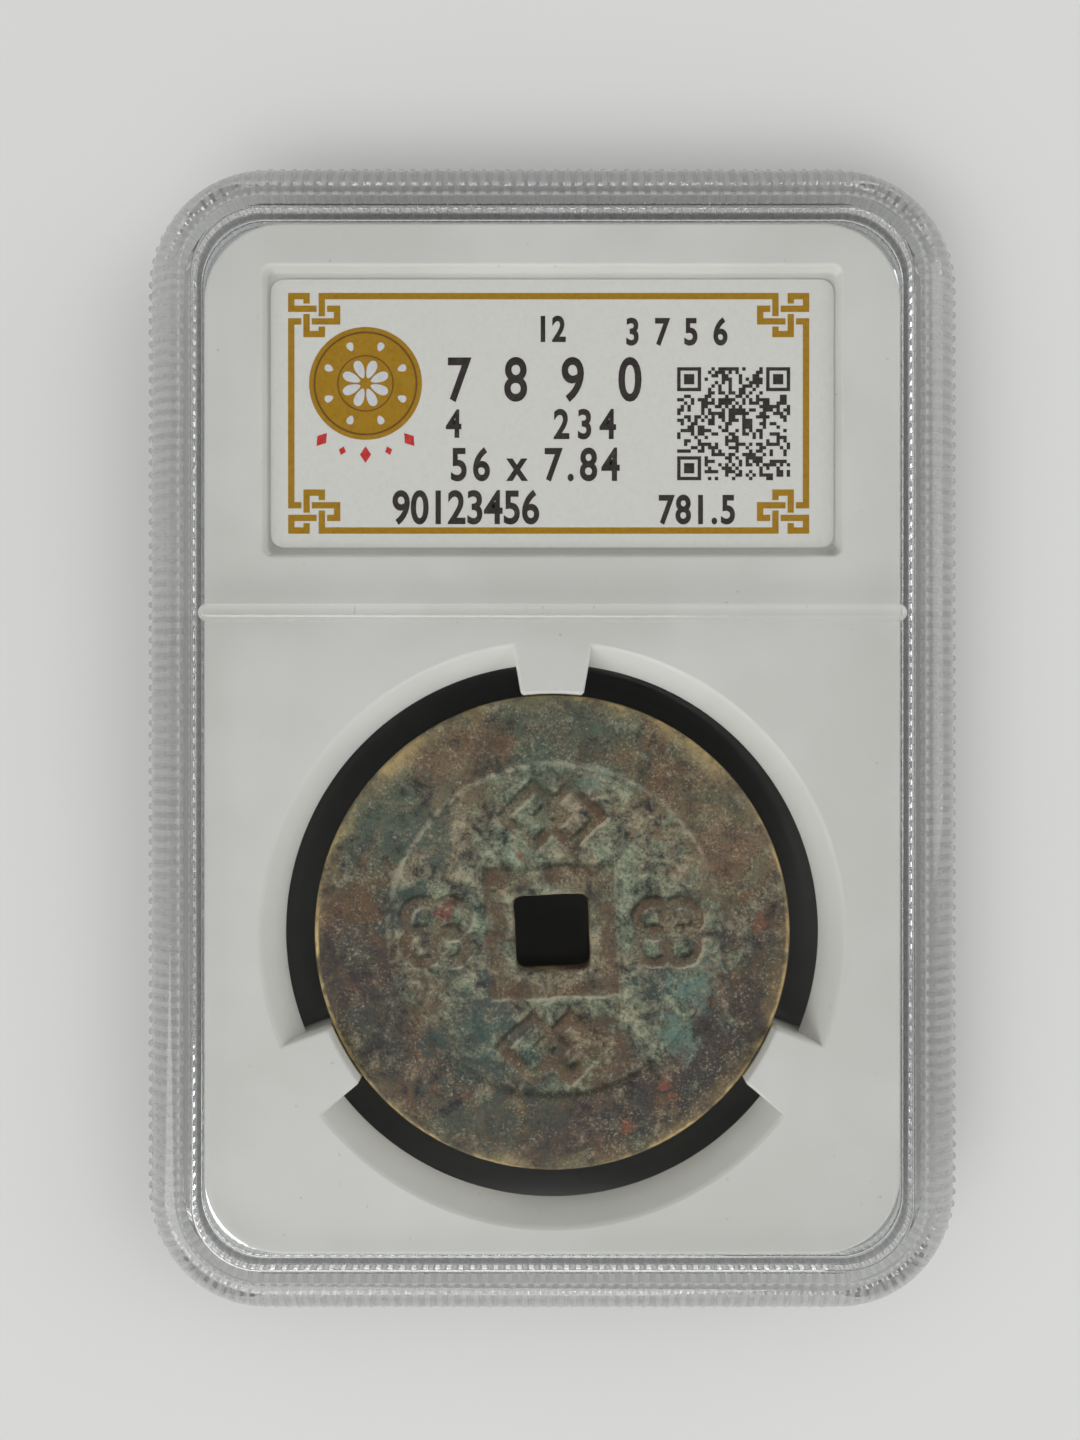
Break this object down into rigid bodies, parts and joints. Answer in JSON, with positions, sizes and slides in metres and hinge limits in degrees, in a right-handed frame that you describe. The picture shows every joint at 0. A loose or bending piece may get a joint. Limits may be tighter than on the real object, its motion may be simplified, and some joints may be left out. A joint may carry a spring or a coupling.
{
  "type": "graded coin slab",
  "caption": "Clear coin holder of a front and a rear shell with a reeded edge and a crossbar, holding a white pronged insert, a printed label and a cast coin with a square hole.",
  "frame": {"origin": "centre of the slab's footprint, on the plane of the rear rim that it rests on", "axes": "+Z out of the front window, +Y along the length towards the label end, +X to the right as the front is read"},
  "size_m": [0.061, 0.086, 0.0084],
  "materials": {
    "clear_rear": "gloss",
    "white_insert": "satin",
    "label_card": "matte",
    "patinated_bronze": "matte",
    "clear_front": "gloss"
  },
  "bodies": {
    "rear": {"rear_shell": "clear_rear"},
    "core": {"insert": "white_insert", "label": "label_card"},
    "coin": {"coin": "patinated_bronze"},
    "front": {"front_shell": "clear_front"}
  },
  "joints": [
    {"name": "insert_lift", "type": "slide", "parent": "rear", "child": "core", "axis": [0, 0, 1], "range_m": [0, 0.012]},
    {"name": "coin_lift", "type": "slide", "parent": "core", "child": "coin", "axis": [0, 0, 1], "range_m": [0, 0.009]},
    {"name": "front_shell_lift", "type": "slide", "parent": "coin", "child": "front", "axis": [0, 0, 1], "range_m": [0, 0.014]}
  ]
}
